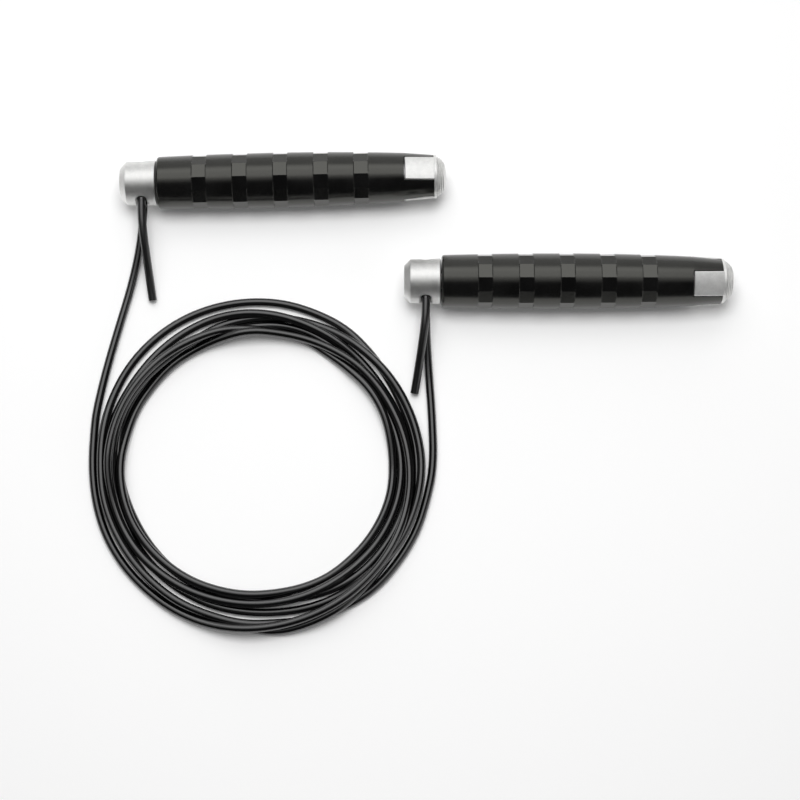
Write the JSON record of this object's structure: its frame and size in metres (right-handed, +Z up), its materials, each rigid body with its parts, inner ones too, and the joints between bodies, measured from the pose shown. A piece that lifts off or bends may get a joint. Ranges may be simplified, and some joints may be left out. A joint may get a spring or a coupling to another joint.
{
  "type": "jump rope",
  "caption": "Jump rope lying in a loose coil: barrel grips with rings of flats turn on ball bearings behind metal heads that clamp the folded rope.",
  "frame": {"origin": "centre of the box round the two handles, on the surface that they lie on", "axes": "+X along handle B from its swivel head to its butt, +Y from handle B towards handle A, +Z up; the coil lies on the -Y side"},
  "size_m": [0.3097, 0.2351, 0.0268],
  "materials": {
    "satin_aluminium": "satin, fine bead-blasted bare aluminium",
    "black_grip": "satin black hard plastic",
    "rope": "glossy black solid plastic rope",
    "tube_aluminium": "turned, uncoated",
    "bearing_steel": "ground and polished steel",
    "plain_steel": "turned steel, thin zinc coat",
    "black_steel": "blackened steel, oiled",
    "nylon": "moulded natural nylon"
  },
  "bodies": {
    "rope_and_heads": {"head_a": "satin_aluminium", "clamp_screw_a": "black_steel", "axle_a": "plain_steel", "axle_washer_a": "plain_steel", "lock_nut_a": "plain_steel", "inner_spacer_a": "plain_steel", "front_inner_race_a": "bearing_steel", "rear_inner_race_a": "bearing_steel", "rope_fold_a": "rope", "head_b": "satin_aluminium", "clamp_screw_b": "black_steel", "axle_b": "plain_steel", "axle_washer_b": "plain_steel", "lock_nut_b": "plain_steel", "inner_spacer_b": "plain_steel", "front_inner_race_b": "bearing_steel", "rear_inner_race_b": "bearing_steel", "rope_fold_b": "rope", "rope_coil": "rope", "rope_lead_a": "rope", "rope_tail_a": "rope", "rope_lead_b": "rope", "rope_tail_b": "rope"},
    "grip_assembly_a": {"outer_spacer_a": "plain_steel", "front_outer_race_a": "bearing_steel", "rear_outer_race_a": "bearing_steel", "core_tube_a": "tube_aluminium", "retaining_ring_a": "black_steel", "grip_a": "black_grip", "butt_cap_a": "satin_aluminium", "end_plug_a": "tube_aluminium", "cap_screw_a": "black_steel"},
    "grip_assembly_b": {"outer_spacer_b": "plain_steel", "front_outer_race_b": "bearing_steel", "rear_outer_race_b": "bearing_steel", "core_tube_b": "tube_aluminium", "retaining_ring_b": "black_steel", "grip_b": "black_grip", "butt_cap_b": "satin_aluminium", "end_plug_b": "tube_aluminium", "cap_screw_b": "black_steel"},
    "ball_sets_a": {"front_balls_a": "bearing_steel", "front_cage_a": "nylon", "rear_balls_a": "bearing_steel", "rear_cage_a": "nylon"},
    "ball_sets_b": {"front_balls_b": "bearing_steel", "front_cage_b": "nylon", "rear_balls_b": "bearing_steel", "rear_cage_b": "nylon"}
  },
  "joints": [
    {"name": "grip_spin_a", "type": "hinge", "parent": "rope_and_heads", "child": "grip_assembly_a", "pos_m": [-0.13026, 0.02433, 0.0134], "axis": [0.9997, 0.0244, 0], "continuous": true},
    {"name": "ball_roll_a", "type": "hinge", "parent": "rope_and_heads", "child": "ball_sets_a", "pos_m": [-0.13026, 0.02433, 0.0134], "axis": [0.9997, 0.0244, 0], "continuous": true},
    {"name": "grip_spin_b", "type": "hinge", "parent": "rope_and_heads", "child": "grip_assembly_b", "pos_m": [0.00775, -0.0257, 0.0134], "axis": [1, 0, 0], "continuous": true},
    {"name": "ball_roll_b", "type": "hinge", "parent": "rope_and_heads", "child": "ball_sets_b", "pos_m": [0.00775, -0.0257, 0.0134], "axis": [1, 0, 0], "continuous": true}
  ],
  "couplings": [
    {"joint": "ball_roll_a", "follows": "grip_spin_a", "ratio": 0.6333},
    {"joint": "ball_roll_b", "follows": "grip_spin_b", "ratio": 0.6333}
  ]
}
